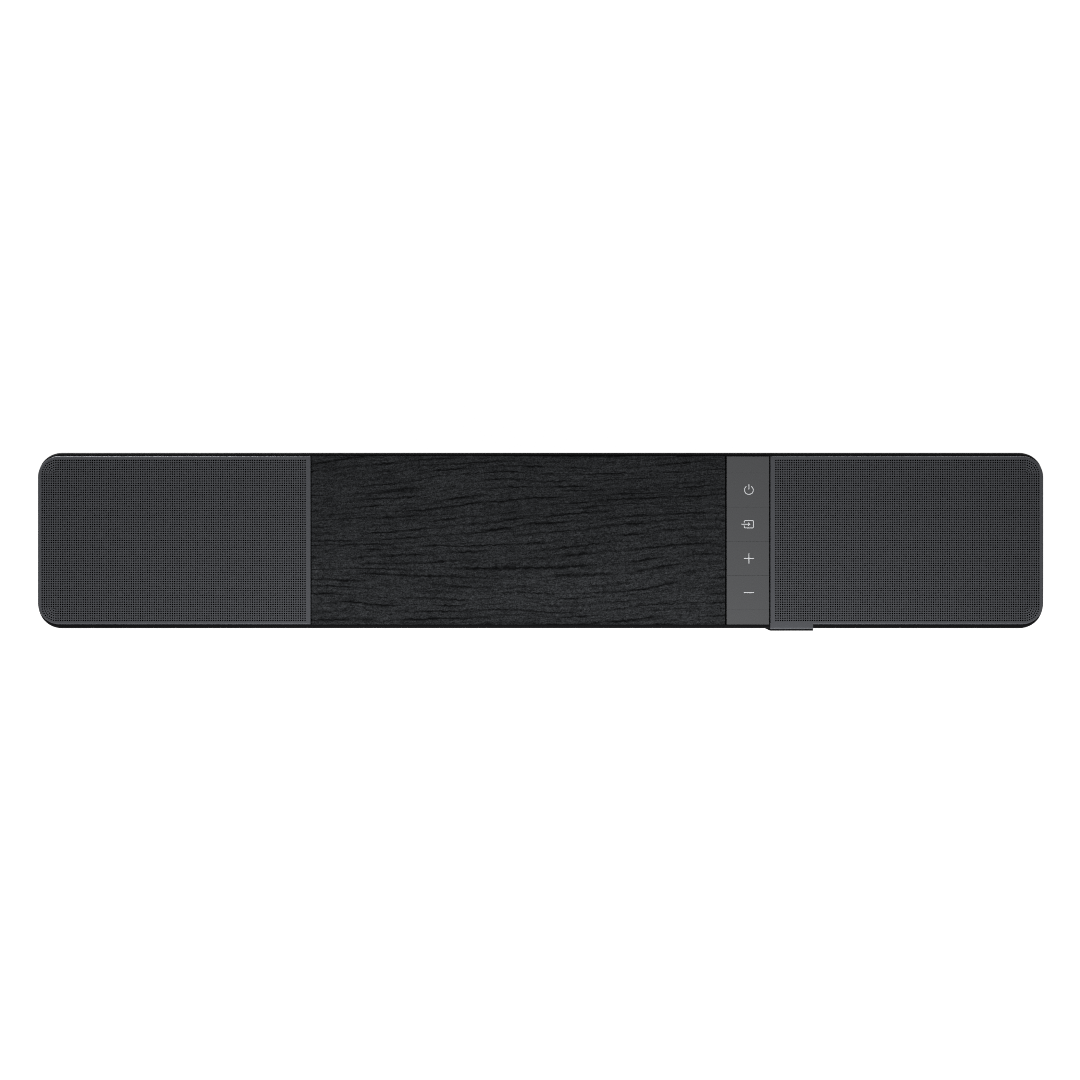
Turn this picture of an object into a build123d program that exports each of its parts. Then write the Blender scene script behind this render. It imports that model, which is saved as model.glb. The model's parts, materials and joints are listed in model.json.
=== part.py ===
from build123d import *
import os
from math import cos, radians, sin
from typing import NamedTuple

# A soundbar with perforated metal grilles, a wood panel and a strip of keys on its top.
# Millimetres. +X is the listener's right, +Y the rear, +Z up. The origin is on the table, under
# the centre of the whole object's footprint.

os.makedirs("parts", exist_ok=True)

# Overall size
width = 711.2
case_depth = 124.2
height = 78.0
tab_proud = 1.7  # how far the boss round the blank tab stands out of the front
corner_radius = 17.0
case_y = tab_proud / 2
case_front = case_y - case_depth / 2
case_rear = case_y + case_depth / 2

# Levels
foot_height = 3.0
wall = 2.5
floor_z = foot_height + wall
seam_z = 46.0  # where the two halves of the case meet
deck_z = 66.5  # the upper speakers' frames stand on this deck
deck_under_z = deck_z - wall
ledge_z = 74.0  # the grilles' skirts stand on this ledge
bed_z = 73.4  # the wood panel and the control strip lie on this bed
bed_under_z = bed_z - wall
rim_z = 77.4

# Panels in the top
panel_rear = 60.8
panel_front = -58.5
panel_y = (panel_rear + panel_front) / 2
panel_corner = 15.0
panel_gap = 0.12
left_grille_edge = -162.6
wood_left = -162.0
wood_right = 130.5
strip_left = 131.6
strip_right = 161.7
strip_rear = 60.3
right_grille_edge = 162.5
sheet = 1.0
skirt = height - ledge_z
veneer = 0.6
rim_end_x = 353.0  # beyond this the metal reaches the outline and there is no rim

# Blank tab that the right grille folds over the front edge, into a slot in a boss of the case
tab_left = 162.5
tab_right = 192.8
tab_bottom_z = 68.0
tab_front = case_front - 0.5
tab_gap = 0.1
boss_bottom_z = 66.0
boss_lead = 3.8  # the boss slopes out of the front over this length on its left

# Keys
key_pitch = 24.2
key_seam = 0.1
key_x = (strip_left + strip_right) / 2
key_row_y = 0.3
key_thickness = 1.8
key_ys = [key_row_y + key_pitch * step for step in (1.5, 0.5, -0.5, -1.5)]
key_names = ["power_key", "source_key", "volume_up_key", "volume_down_key"]
plunger_radius = 2.5
plunger_z = 73.0
key_board_z = 67.7
switch_height = 2.5
board_thickness = 1.6

# Front
window_bottom_z = 10.0
window_top_z = 66.0
window_width = 670.0
window_radius = 8.0
grille_set_back = 0.2
front_sheet = 0.8
baffle_front = case_front + 3.9
baffle_back = baffle_front + wall
baffle_width = 664.0

# Rear connector bay
bay_width = 140.0
bay_bottom_z = 14.0
bay_top_z = 44.0
bay_gap = 0.2
bay_wall = 2.0
bay_floor_y = 48.0
bay_rear_y = case_rear - 0.75
socket_board_z = 21.6

# Fasteners
case_screw_spots = [
    (side * x, y) for side in (-1, 1) for x, y in ((335, 42), (335, -40), (200, 50), (122, -47))
]
insert_spacing = 300.0
insert_y = 20.0
insert_hole_radius = 1.65  # tapped M4

# Speakers
woofer_x = 259.1
front_speaker_x = 170.0
front_speaker_z = 35.3


class Speaker(NamedTuple):
    """Radii and depths of a loudspeaker, measured from the front face of its frame's flange."""

    flange: float
    throat: float
    cone: float
    coil: float
    magnet: float
    basket_depth: float
    motor_depth: float
    plate: float
    roll: float
    windows: int


woofer = Speaker(52.0, 43.5, 38.0, 10.8, 34.0, 34.0, 22.0, 4.0, 3.0, 6)
front_speaker = Speaker(28.4, 22.0, 18.4, 7.5, 19.0, 18.0, 15.0, 3.0, 2.0, 4)
flange_thickness = 2.0
coil_wall = 0.7
cone_thickness = 0.9
surround_thickness = 0.5
lip_width = 1.6
motor_gap = 0.5


def save(piece, name):
    """Label a finished piece and write it."""
    piece.part.label = name
    export_step(piece.part, f"parts/{name}.step")


def case_outline(level, inset=0.0):
    """The case's outline in plan at a level, inset all round."""
    with BuildSketch(Plane.XY.offset(level)) as outline:
        with Locations((0, case_y)):
            RectangleRounded(width - 2 * inset, case_depth - 2 * inset, corner_radius - inset)
    return outline.sketch


def grille_outline(edge_x, side, level, inset=0.0):
    """A top grille's outline, from its straight inner edge to the case's round corners."""
    outer_x = side * (width / 2 - inset)
    inner_x = edge_x + side * inset
    with BuildSketch(Plane.XY.offset(level)) as outline:
        with Locations(((outer_x + inner_x) / 2, panel_y)):
            Rectangle(abs(outer_x - inner_x), panel_rear - panel_front - 2 * inset)
        columns = outline.vertices().group_by(Axis.X)
        fillet(columns[-1] if side > 0 else columns[0], panel_corner - inset)
    return outline.sketch


def block_between(low, high, mode=Mode.ADD):
    """A box given by its lowest and highest corners."""
    centre = [(a + b) / 2 for a, b in zip(low, high)]
    with Locations(tuple(centre)):
        Box(*[b - a for a, b in zip(low, high)], mode=mode)


def front_window(y, inset=0.0):
    """The rounded opening in the front, on the plane at a depth, inset all round."""
    with BuildSketch(Plane.XZ.offset(-y)) as opening:
        with Locations((0, (window_top_z + window_bottom_z) / 2)):
            RectangleRounded(
                window_width - 2 * inset,
                window_top_z - window_bottom_z - 2 * inset,
                window_radius - inset,
            )
    return opening.sketch


# ---------------------------------------------------------------- case

rim_round = 1.4
pocket_inset = 3.5
post_radius = 4.5
boss_radius = 3.2
screw_radius = 1.5
screw_hole_radius = 1.6
small_hole_radius = 1.3
clear_hole_radius = 1.8
speaker_hole_gap = 2.8
key_opening = (134.0, 50.0)  # left side, and half the depth
key_screw_y = 54.0
speaker_screw_circle = 48.3
speaker_screw_angles = (45, 135, 225, 315)


def flange_screw_spots(x):
    """Plan places of the four screws in an upper speaker's flange."""
    return [
        (
            x + speaker_screw_circle * cos(radians(angle)),
            panel_y + speaker_screw_circle * sin(radians(angle)),
        )
        for angle in speaker_screw_angles
    ]


woofer_screw_spots = flange_screw_spots(-woofer_x) + flange_screw_spots(woofer_x)

with BuildPart() as top_case:
    extrude(case_outline(seam_z), amount=rim_z - seam_z)
    fillet(top_case.faces().sort_by(Axis.Z)[-1].edges(), rim_round)
    # Bed of all the panels, open at both ends
    with BuildSketch(Plane.XY.offset(ledge_z)):
        with Locations((0, panel_y)):
            RectangleRounded(
                width + 2 * panel_gap,
                panel_rear - panel_front + 2 * panel_gap,
                panel_corner + panel_gap,
            )
        with Locations((-rim_end_x - 5, panel_y), (rim_end_x + 5, panel_y)):
            Rectangle(10, case_depth)
    extrude(amount=10, mode=Mode.SUBTRACT)
    block_between(
        (left_grille_edge + panel_gap, panel_front - panel_gap, bed_z),
        (right_grille_edge - panel_gap, panel_rear + panel_gap, ledge_z),
        mode=Mode.SUBTRACT,
    )
    # Pockets over the speakers, and the hollow below the decks
    extrude(
        grille_outline(left_grille_edge, -1, deck_z, pocket_inset),
        amount=ledge_z - deck_z,
        mode=Mode.SUBTRACT,
    )
    extrude(
        grille_outline(right_grille_edge, 1, deck_z, pocket_inset),
        amount=ledge_z - deck_z,
        mode=Mode.SUBTRACT,
    )
    extrude(case_outline(seam_z, wall), amount=deck_under_z - seam_z, mode=Mode.SUBTRACT)
    block_between(
        (-160, case_front + wall, deck_under_z - 1),
        (160, case_rear - wall, bed_under_z),
        mode=Mode.SUBTRACT,
    )
    # Openings for the upper speakers and for the keys
    with Locations((-woofer_x, panel_y, deck_z), (woofer_x, panel_y, deck_z)):
        Cylinder(woofer.throat + speaker_hole_gap, 10, mode=Mode.SUBTRACT)
    block_between(
        (key_opening[0], -key_opening[1], bed_under_z - 1),
        (2 * key_x - key_opening[0], key_opening[1], bed_z + 1),
        mode=Mode.SUBTRACT,
    )
    # Posts that take the screws of the case, and bosses under the speaker flanges
    with BuildSketch(Plane.XY.offset(seam_z)):
        with Locations(*case_screw_spots):
            Circle(post_radius)
    extrude(until=Until.NEXT)
    with BuildSketch(Plane.XY.offset(seam_z)):
        with Locations(*case_screw_spots):
            Circle(screw_hole_radius)
    extrude(amount=14, mode=Mode.SUBTRACT)
    with BuildSketch(Plane.XY.offset(deck_under_z)):
        with Locations(*woofer_screw_spots):
            Circle(boss_radius)
    extrude(amount=-6)
    with BuildSketch(Plane.XY.offset(deck_z)):
        with Locations(*woofer_screw_spots):
            Circle(screw_hole_radius)
    extrude(amount=-7, mode=Mode.SUBTRACT)
    # Bosses that carry the key board
    with BuildSketch(Plane.XY.offset(bed_under_z)):
        with Locations((key_x, -key_screw_y), (key_x, key_screw_y)):
            Circle(2.6)
            Circle(small_hole_radius, mode=Mode.SUBTRACT)
    extrude(amount=key_board_z - bed_under_z)
    # Front opening
    extrude(front_window(case_front), amount=case_front - baffle_front, mode=Mode.SUBTRACT)
    # Boss round the tab, with a sloping lead-in on its left, and the slot that the tab goes into
    with BuildSketch(Plane.XY.offset(boss_bottom_z)):
        with BuildLine():
            Polyline(
                (tab_left - boss_lead, case_front + 0.5),
                (tab_left - boss_lead, case_front),
                (tab_left - tab_gap, case_front - tab_proud),
                (tab_right + tab_gap, case_front - tab_proud),
                (tab_right + tab_gap, case_front + 0.5),
                close=True,
            )
        make_face()
    extrude(amount=rim_z - rim_round - boss_bottom_z)
    block_between(
        (tab_left - tab_gap, tab_front - tab_gap, tab_bottom_z - tab_gap),
        (tab_right + tab_gap, tab_front + sheet + tab_gap, height),
        mode=Mode.SUBTRACT,
    )
    block_between(
        (tab_left - tab_gap, tab_front, height - sheet - tab_gap),
        (tab_right + tab_gap, panel_front, height),
        mode=Mode.SUBTRACT,
    )
save(top_case, "top_case")

bottom_round = 3.0
counterbore_radius = 3.6
counterbore_z = 12.0
insert_radius = 3.0
insert_length = 8.0
insert_boss_radius = 6.0
insert_spots = [(-insert_spacing / 2, insert_y), (insert_spacing / 2, insert_y)]
main_board_left, main_board_right = -78.0, 34.0
main_board_front, main_board_rear = -36.0, 45.0
main_board_spots = [(x, y) for x in (-73, 29) for y in (-31, 28)]
power_board_left, power_board_right = 76.0, 130.0
power_board_front, power_board_rear = -36.0, 40.0
power_board_top_z = 17.6
power_board_spots = [(x, y) for x in (80, 126) for y in (-32, 36)]
main_board_under_z = socket_board_z - board_thickness
power_board_under_z = power_board_top_z - board_thickness

with BuildPart() as bottom_case:
    extrude(case_outline(foot_height), amount=seam_z - foot_height)
    fillet(bottom_case.faces().sort_by(Axis.Z)[0].edges(), bottom_round)
    extrude(case_outline(floor_z, wall), amount=seam_z - floor_z, mode=Mode.SUBTRACT)
    # Posts of the case screws, with a counterbore from below
    with BuildSketch(Plane.XY.offset(floor_z)):
        with Locations(*case_screw_spots):
            Circle(post_radius + 0.5)
    extrude(amount=seam_z - floor_z)
    with Locations(*[(x, y, foot_height) for x, y in case_screw_spots]):
        Cylinder(
            counterbore_radius,
            counterbore_z - foot_height,
            align=(Align.CENTER, Align.CENTER, Align.MIN),
            mode=Mode.SUBTRACT,
        )
        Cylinder(
            screw_hole_radius,
            seam_z - foot_height,
            align=(Align.CENTER, Align.CENTER, Align.MIN),
            mode=Mode.SUBTRACT,
        )
    # Bosses of the two boards
    with BuildSketch(Plane.XY.offset(floor_z)):
        with Locations(*main_board_spots):
            Circle(boss_radius)
            Circle(small_hole_radius, mode=Mode.SUBTRACT)
    extrude(amount=main_board_under_z - floor_z)
    with BuildSketch(Plane.XY.offset(floor_z)):
        with Locations(*power_board_spots):
            Circle(boss_radius)
            Circle(small_hole_radius, mode=Mode.SUBTRACT)
    extrude(amount=power_board_under_z - floor_z)
    # Bosses of the bracket inserts, open below
    with BuildSketch(Plane.XY.offset(foot_height)):
        with Locations(*insert_spots):
            Circle(insert_boss_radius)
    extrude(amount=insert_length + 1.5)
    with BuildSketch(Plane.XY.offset(foot_height)):
        with Locations(*insert_spots):
            Circle(insert_radius + 0.05)
    extrude(amount=insert_length, mode=Mode.SUBTRACT)
    # Ribs behind the front baffle
    for low_x, high_x in ((-325, -212), (-128, 128), (212, 325)):
        block_between((low_x, baffle_back + 0.1, floor_z), (high_x, baffle_back + 1.6, floor_z + 6.5))
    # Front opening and connector bay
    extrude(front_window(case_front - 1), amount=-(wall + 2), mode=Mode.SUBTRACT)
    block_between(
        (-bay_width / 2, case_rear - wall - 1, bay_bottom_z),
        (bay_width / 2, case_rear + 1, bay_top_z),
        mode=Mode.SUBTRACT,
    )
save(bottom_case, "bottom_case")

# ---------------------------------------------------------------- top panels


def top_grille(edge_x, side):
    """A folded sheet: a flat top with a skirt all round."""
    with BuildPart() as grille:
        extrude(grille_outline(edge_x, side, ledge_z), amount=skirt)
        extrude(
            grille_outline(edge_x, side, ledge_z, sheet), amount=skirt - sheet, mode=Mode.SUBTRACT
        )
    return grille


left_top_grille = top_grille(left_grille_edge, -1)
save(left_top_grille, "left_top_grille")

with BuildPart() as right_top_grille:
    add(top_grille(right_grille_edge, 1).part)
    with BuildSketch(Plane.YZ.offset(tab_left)):
        with BuildLine():
            Polyline(
                (panel_front + 2 * sheet, height),
                (tab_front, height),
                (tab_front, tab_bottom_z),
                (tab_front + sheet, tab_bottom_z),
                (tab_front + sheet, height - sheet),
                (panel_front + 2 * sheet, height - sheet),
                close=True,
            )
        make_face()
    extrude(amount=tab_right - tab_left)
save(right_top_grille, "right_top_grille")

with BuildPart() as wood_core:
    block_between((wood_left, panel_front, bed_z), (wood_right, panel_rear, height - veneer))
save(wood_core, "wood_core")

with BuildPart() as wood_veneer:
    block_between((wood_left, panel_front, height - veneer), (wood_right, panel_rear, height))
save(wood_veneer, "wood_veneer")

# ---------------------------------------------------------------- control strip and keys

key_row_rear = key_ys[0] + key_pitch / 2
key_row_front = key_ys[-1] - key_pitch / 2
strip_floor = 1.2

with BuildPart() as control_strip:
    block_between((strip_left, panel_front, bed_z), (strip_right, strip_rear, bed_z + strip_floor))
    block_between((strip_left, panel_front, bed_z), (strip_right, key_row_front, height))
    block_between((strip_left, key_row_rear, bed_z), (strip_right, strip_rear, height))
    with Locations(*[(key_x, y, bed_z) for y in key_ys]):
        Cylinder(plunger_radius + 0.5, 6, mode=Mode.SUBTRACT)
save(control_strip, "control_strip")


def key(y):
    """A flat cap as wide as the strip, with a round plunger under its middle."""
    with BuildPart() as cap:
        block_between(
            (strip_left, y - key_pitch / 2 + key_seam / 2, height - key_thickness),
            (strip_right, y + key_pitch / 2 - key_seam / 2, height),
        )
        with Locations((key_x, y, plunger_z)):
            Cylinder(
                plunger_radius,
                height - key_thickness - plunger_z,
                align=(Align.CENTER, Align.CENTER, Align.MIN),
            )
    return cap


def key_pad(y):
    """A silicone dome between a key's plunger and its switch."""
    base_z = key_board_z + switch_height
    with BuildPart() as pad:
        with Locations((key_x, y, base_z)):
            Cone(3.2, 2.4, plunger_z - base_z, align=(Align.CENTER, Align.CENTER, Align.MIN))
    return pad


for key_name, key_y in zip(key_names, key_ys):
    save(key(key_y), key_name)
    save(key_pad(key_y), f"{key_name}_pad")

with BuildPart() as key_board:
    block_between(
        (key_x - 12.6, -58, key_board_z - board_thickness),
        (key_x + 12.6, 58, key_board_z),
    )
    with Locations((key_x, -key_screw_y, key_board_z), (key_x, key_screw_y, key_board_z)):
        Cylinder(screw_hole_radius, 10, mode=Mode.SUBTRACT)
save(key_board, "key_board")

with BuildPart() as key_switches:
    with Locations(*[(key_x, y, key_board_z) for y in key_ys]):
        Box(7, 7, switch_height, align=(Align.CENTER, Align.CENTER, Align.MIN))
save(key_switches, "key_switches")

# ---------------------------------------------------------------- speakers


def section_plane(mount):
    """The plane of a speaker's half section: X is the radius, Y the way it fires."""
    return Plane(origin=mount.origin, x_dir=mount.x_dir, z_dir=-mount.y_dir)


def speaker_axis(mount):
    """The axis that a speaker is turned about."""
    return Axis(mount.origin, mount.z_dir)


def speaker_frame(size, mount):
    """The basket: a flange, a windowed cone, a ledge for the spider and a seat for the motor."""
    ledge = -0.72 * size.basket_depth
    seat = -size.basket_depth
    mouth = size.throat + 2.1
    waist = size.throat - 8.1 if size.windows > 4 else size.throat - 4.5
    with BuildPart() as basket:
        with BuildSketch(section_plane(mount)):
            with BuildLine():
                Polyline(
                    (size.flange, 0),
                    (size.flange, -flange_thickness),
                    (mouth, -flange_thickness),
                    (waist + 2, ledge - 1),
                    (waist - 1.5, seat),
                    (size.coil + 3, seat),
                    (size.coil + 3, seat + 1.6),
                    (waist - 3.4, seat + 1.6),
                    (waist - 3.4, ledge),
                    (waist, ledge),
                    (size.throat, -1.5),
                    (size.throat, 0),
                    close=True,
                )
            make_face()
        revolve(axis=speaker_axis(mount))
        window_height = -0.5 * ledge
        with Locations(mount.offset(0.6 * ledge)):
            with PolarLocations(0, size.windows):
                Box(
                    size.flange,
                    0.62 * size.throat,
                    window_height,
                    align=(Align.MIN, Align.CENTER, Align.CENTER),
                    mode=Mode.SUBTRACT,
                )
    return basket


def speaker_magnet(size, mount):
    """The motor: a back plate with its pole, a ring magnet and a front plate."""
    front = -size.basket_depth
    back = front - size.motor_depth
    pole = size.coil - coil_wall - motor_gap
    plate_edge = size.magnet - 3
    with BuildPart() as motor:
        with BuildSketch(section_plane(mount)):
            with BuildLine():
                Polyline(
                    (0, front),
                    (pole, front),
                    (pole, back + size.plate),
                    (size.coil + 4, back + size.plate),
                    (size.coil + 4, front - size.plate),
                    (size.coil + motor_gap, front - size.plate),
                    (size.coil + motor_gap, front),
                    (plate_edge, front),
                    (plate_edge, front - size.plate),
                    (size.magnet, front - size.plate),
                    (size.magnet, back + size.plate),
                    (plate_edge, back + size.plate),
                    (plate_edge, back),
                    (0, back),
                    close=True,
                )
            make_face()
        revolve(axis=speaker_axis(mount))
    return motor


def speaker_cone(size, mount):
    """The moving part: a straight cone, a domed dust cap and the voice coil's former."""
    neck = -0.62 * (size.cone - size.coil)
    cap = size.coil + 3.4
    cap_z = neck * (size.cone - cap) / (size.cone - size.coil)
    cap_rise = 0.3 * cap
    coil_end = -size.basket_depth - size.plate - 2.5
    former = size.coil - coil_wall
    with BuildPart() as cone:
        with BuildSketch(section_plane(mount)):
            with BuildLine():
                Polyline(
                    (0, cap_z + cap_rise),
                    (0.4 * cap, cap_z + 0.88 * cap_rise),
                    (0.75 * cap, cap_z + 0.5 * cap_rise),
                    (cap, cap_z),
                    (size.cone, 0),
                    (size.cone, -cone_thickness),
                    (size.coil, neck - cone_thickness),
                    (size.coil, coil_end),
                    (former, coil_end),
                    (former, neck),
                    (0, neck),
                    close=True,
                )
            make_face()
        revolve(axis=speaker_axis(mount))
    return cone


def speaker_surround(size, mount):
    """A half roll between the cone's edge and the frame's flange, with a flat lip on each."""
    middle = (size.cone + size.throat) / 2
    outer = (size.throat - size.cone) / 2 + surround_thickness / 2
    inner = outer - surround_thickness
    with BuildPart() as roll:
        with BuildSketch(section_plane(mount)):
            with BuildLine():
                Polyline(
                    (middle - inner, 0),
                    (size.cone - 2.2, 0),
                    (size.cone - 2.2, surround_thickness),
                    (middle - outer, surround_thickness),
                )
                ThreePointArc(
                    (middle - outer, surround_thickness),
                    (middle, size.roll),
                    (middle + outer, surround_thickness),
                )
                Polyline(
                    (middle + outer, surround_thickness),
                    (size.throat + lip_width, surround_thickness),
                    (size.throat + lip_width, 0),
                    (middle + inner, 0),
                )
                ThreePointArc(
                    (middle + inner, 0),
                    (middle, size.roll - surround_thickness),
                    (middle - inner, 0),
                )
            make_face()
        revolve(axis=speaker_axis(mount))
    return roll


def speaker_spider(size, mount):
    """A corrugated disc that centres the coil."""
    ledge = -0.72 * size.basket_depth
    waist = size.throat - 8.1 if size.windows > 4 else size.throat - 4.5
    inner, outer = size.coil + 0.05, waist - 0.1
    folds = 6
    step = (outer - inner - 3) / (2 * folds)
    wave = 0.9
    lower = [(inner, ledge), (inner + 1.5, ledge)]
    lower += [
        (inner + 1.5 + step * index, ledge + (wave if index % 2 else 0))
        for index in range(1, 2 * folds)
    ]
    lower += [(outer - 1.5, ledge), (outer, ledge)]
    upper = [(x, y + surround_thickness) for x, y in reversed(lower)]
    with BuildPart() as disc:
        with BuildSketch(section_plane(mount)):
            with BuildLine():
                Polyline(*lower, *upper, close=True)
            make_face()
        revolve(axis=speaker_axis(mount))
    return disc


woofer_mounts = {
    "left": Plane((-woofer_x, panel_y, deck_z + flange_thickness)),
    "right": Plane((woofer_x, panel_y, deck_z + flange_thickness)),
}
front_mounts = {
    hand: Plane((x, baffle_back, front_speaker_z), x_dir=(1, 0, 0), z_dir=(0, -1, 0))
    for hand, x in (("left", -front_speaker_x), ("right", front_speaker_x))
}
ear_reach = 34.0
ear_hole_x = 31.0

for hand, place in woofer_mounts.items():
    with BuildPart() as woofer_frame:
        add(speaker_frame(woofer, place).part)
        with BuildSketch(Plane.XY.offset(deck_z + flange_thickness)):
            with Locations(*flange_screw_spots(place.origin.X)):
                Circle(clear_hole_radius)
        extrude(amount=-flange_thickness, mode=Mode.SUBTRACT)
    save(woofer_frame, f"{hand}_woofer_frame")
    save(speaker_magnet(woofer, place), f"{hand}_woofer_magnet")
    save(speaker_cone(woofer, place), f"{hand}_woofer_cone")
    save(speaker_surround(woofer, place), f"{hand}_woofer_surround")
    save(speaker_spider(woofer, place), f"{hand}_woofer_spider")

for hand, place in front_mounts.items():
    with BuildPart() as front_frame:
        add(speaker_frame(front_speaker, place).part)
        with BuildSketch(place):
            RectangleRounded(2 * ear_reach, 9, 3)
            Circle(front_speaker.throat + 1, mode=Mode.SUBTRACT)
            with Locations((-ear_hole_x, 0), (ear_hole_x, 0)):
                Circle(clear_hole_radius, mode=Mode.SUBTRACT)
        extrude(amount=-flange_thickness)
    save(front_frame, f"{hand}_front_speaker_frame")
    save(speaker_magnet(front_speaker, place), f"{hand}_front_speaker_magnet")
    save(speaker_cone(front_speaker, place), f"{hand}_front_speaker_cone")
    save(speaker_surround(front_speaker, place), f"{hand}_front_speaker_surround")

# ---------------------------------------------------------------- front

display_width = 60.0
display_height = 18.0
display_z = 38.0
front_speaker_spots = [(-front_speaker_x, front_speaker_z), (front_speaker_x, front_speaker_z)]
ear_spots = [(x + side * ear_hole_x, z) for x, z in front_speaker_spots for side in (-1, 1)]

grille_front = case_front + grille_set_back
grille_gap = 0.2

with BuildPart() as front_grille:
    extrude(front_window(grille_front, grille_gap), amount=grille_front - baffle_front + 0.1)
    extrude(
        front_window(grille_front + front_sheet, grille_gap + front_sheet),
        amount=-10,
        mode=Mode.SUBTRACT,
    )
save(front_grille, "front_grille")

with BuildPart() as front_baffle:
    with BuildSketch(Plane.XZ.offset(-baffle_front)):
        with Locations((0, (floor_z + deck_under_z) / 2)):
            Rectangle(baffle_width, deck_under_z - floor_z - 0.4)
        with Locations(*front_speaker_spots):
            Circle(front_speaker.throat + 3, mode=Mode.SUBTRACT)
        with Locations(*ear_spots):
            Circle(screw_hole_radius, mode=Mode.SUBTRACT)
        with Locations((0, display_z)):
            Rectangle(display_width - 6, display_height - 4, mode=Mode.SUBTRACT)
    extrude(amount=-wall)
save(front_baffle, "front_baffle")

with BuildPart() as display_window:
    with BuildSketch(Plane.XZ.offset(-baffle_front)):
        with Locations((0, display_z)):
            RectangleRounded(display_width, display_height, 2)
    extrude(amount=1.4)
save(display_window, "display_window")

with BuildPart() as display_board:
    block_between(
        (-34, baffle_back + 2, display_z - 13),
        (34, baffle_back + 2 + board_thickness, display_z + 13),
    )
    block_between((-25, baffle_back + 0.2, display_z - 6), (25, baffle_back + 2, display_z + 6))
save(display_board, "display_board")

# ---------------------------------------------------------------- rear sockets

bay_half = bay_width / 2 - bay_gap
hdmi_x, usb_x, line_x, inlet_x = -44.0, -14.0, 12.0, 52.0
inlet_z = 29.5
inlet_size = (24.0, 17.0)
inlet_pin_offset = 4.3
line_z = socket_board_z + 5
line_radius = 1.8
line_nose_radius = 3.4
hdmi_size = (15.0, 6.2)
hdmi_z = socket_board_z + hdmi_size[1] / 2
usb_size = (13.4, 6.0)
usb_z = socket_board_z + usb_size[1] / 2
inlet_depth = 12.0
inlet_back_y = bay_floor_y - 20
socket_depth = 13.0
socket_clearance = 0.2

with BuildPart() as connector_panel:
    block_between(
        (-bay_half, bay_floor_y - bay_wall, bay_bottom_z + bay_gap),
        (bay_half, bay_rear_y, bay_top_z - bay_gap),
    )
    block_between(
        (-bay_half - 3, case_rear - wall - 2.1, bay_bottom_z - 2.5),
        (bay_half + 3, case_rear - wall - 0.1, bay_top_z + 1.5),
    )
    block_between(
        (-bay_half + bay_wall, bay_floor_y, bay_bottom_z + bay_gap + bay_wall),
        (bay_half - bay_wall, case_rear, bay_top_z - bay_gap - bay_wall),
        mode=Mode.SUBTRACT,
    )
    # Holes that the sockets look out of
    with BuildSketch(Plane.XZ.offset(-bay_floor_y)):
        for x, z, (size_x, size_z) in (
            (hdmi_x, hdmi_z, hdmi_size),
            (usb_x, usb_z, usb_size),
            (inlet_x, inlet_z, inlet_size),
        ):
            with Locations((x, z)):
                Rectangle(size_x + 2 * socket_clearance, size_z + 2 * socket_clearance)
        with Locations((line_x, line_z)):
            Circle(line_nose_radius + socket_clearance)
    extrude(amount=bay_wall + 1, mode=Mode.SUBTRACT)
save(connector_panel, "connector_panel")


def socket_shell(x, z, size, opening, depth, tongue):
    """A rectangular socket that faces the rear: an open box with a contact tongue inside."""
    half_x, half_z = size[0] / 2, size[1] / 2
    with BuildPart() as shell:
        block_between(
            (x - half_x, bay_floor_y - depth, z - half_z), (x + half_x, bay_floor_y, z + half_z)
        )
        block_between(
            (x - opening[0] / 2, bay_floor_y - depth + 2, z - opening[1] / 2),
            (x + opening[0] / 2, bay_floor_y + 1, z + opening[1] / 2),
            mode=Mode.SUBTRACT,
        )
        block_between(
            (x - tongue[0] / 2, bay_floor_y - depth + 1, z + tongue[2] - tongue[1] / 2),
            (x + tongue[0] / 2, bay_floor_y - 2, z + tongue[2] + tongue[1] / 2),
        )
    return shell


hdmi_socket = socket_shell(hdmi_x, hdmi_z, hdmi_size, (14.0, 4.8), socket_depth, (11.0, 1.2, 0.0))
save(hdmi_socket, "hdmi_socket")

usb_socket = socket_shell(usb_x, usb_z, usb_size, (12.5, 5.1), socket_depth, (11.1, 1.9, 1.0))
save(usb_socket, "usb_socket")

with BuildPart() as line_in_socket:
    block_between(
        (line_x - 4, bay_floor_y - socket_depth, socket_board_z),
        (line_x + 4, bay_floor_y - bay_wall - 0.2, line_z + 4),
    )
    with BuildSketch(Plane.XZ.offset(-bay_floor_y)):
        with Locations((line_x, line_z)):
            Circle(line_nose_radius)
    extrude(amount=bay_wall + 1)
    with BuildSketch(Plane.XZ.offset(-bay_floor_y)):
        with Locations((line_x, line_z)):
            Circle(line_radius)
    extrude(amount=socket_depth - 1, mode=Mode.SUBTRACT)
save(line_in_socket, "line_in_socket")

with BuildPart() as power_inlet:
    block_between(
        (inlet_x - inlet_size[0] / 2, inlet_back_y, inlet_z - inlet_size[1] / 2),
        (inlet_x + inlet_size[0] / 2, bay_floor_y, inlet_z + inlet_size[1] / 2),
    )
    with BuildSketch(Plane.XZ.offset(-bay_floor_y)):
        with Locations((inlet_x, inlet_z)):
            SlotCenterToCenter(2 * inlet_pin_offset, 8.4)
    extrude(amount=inlet_depth, mode=Mode.SUBTRACT)
save(power_inlet, "power_inlet")

with BuildPart() as inlet_pins:
    with BuildSketch(Plane.XZ.offset(-(bay_floor_y - 2))):
        with Locations((inlet_x - inlet_pin_offset, inlet_z), (inlet_x + inlet_pin_offset, inlet_z)):
            Circle(1.2)
    extrude(amount=inlet_depth - 2)
save(inlet_pins, "inlet_pins")

# ---------------------------------------------------------------- boards

with BuildPart() as main_board:
    block_between(
        (main_board_left, main_board_front, main_board_under_z),
        (main_board_right, main_board_rear, socket_board_z),
    )
    with Locations(*[(x, y, socket_board_z) for x, y in main_board_spots]):
        Cylinder(screw_hole_radius, 10, mode=Mode.SUBTRACT)
save(main_board, "main_board")

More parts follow.
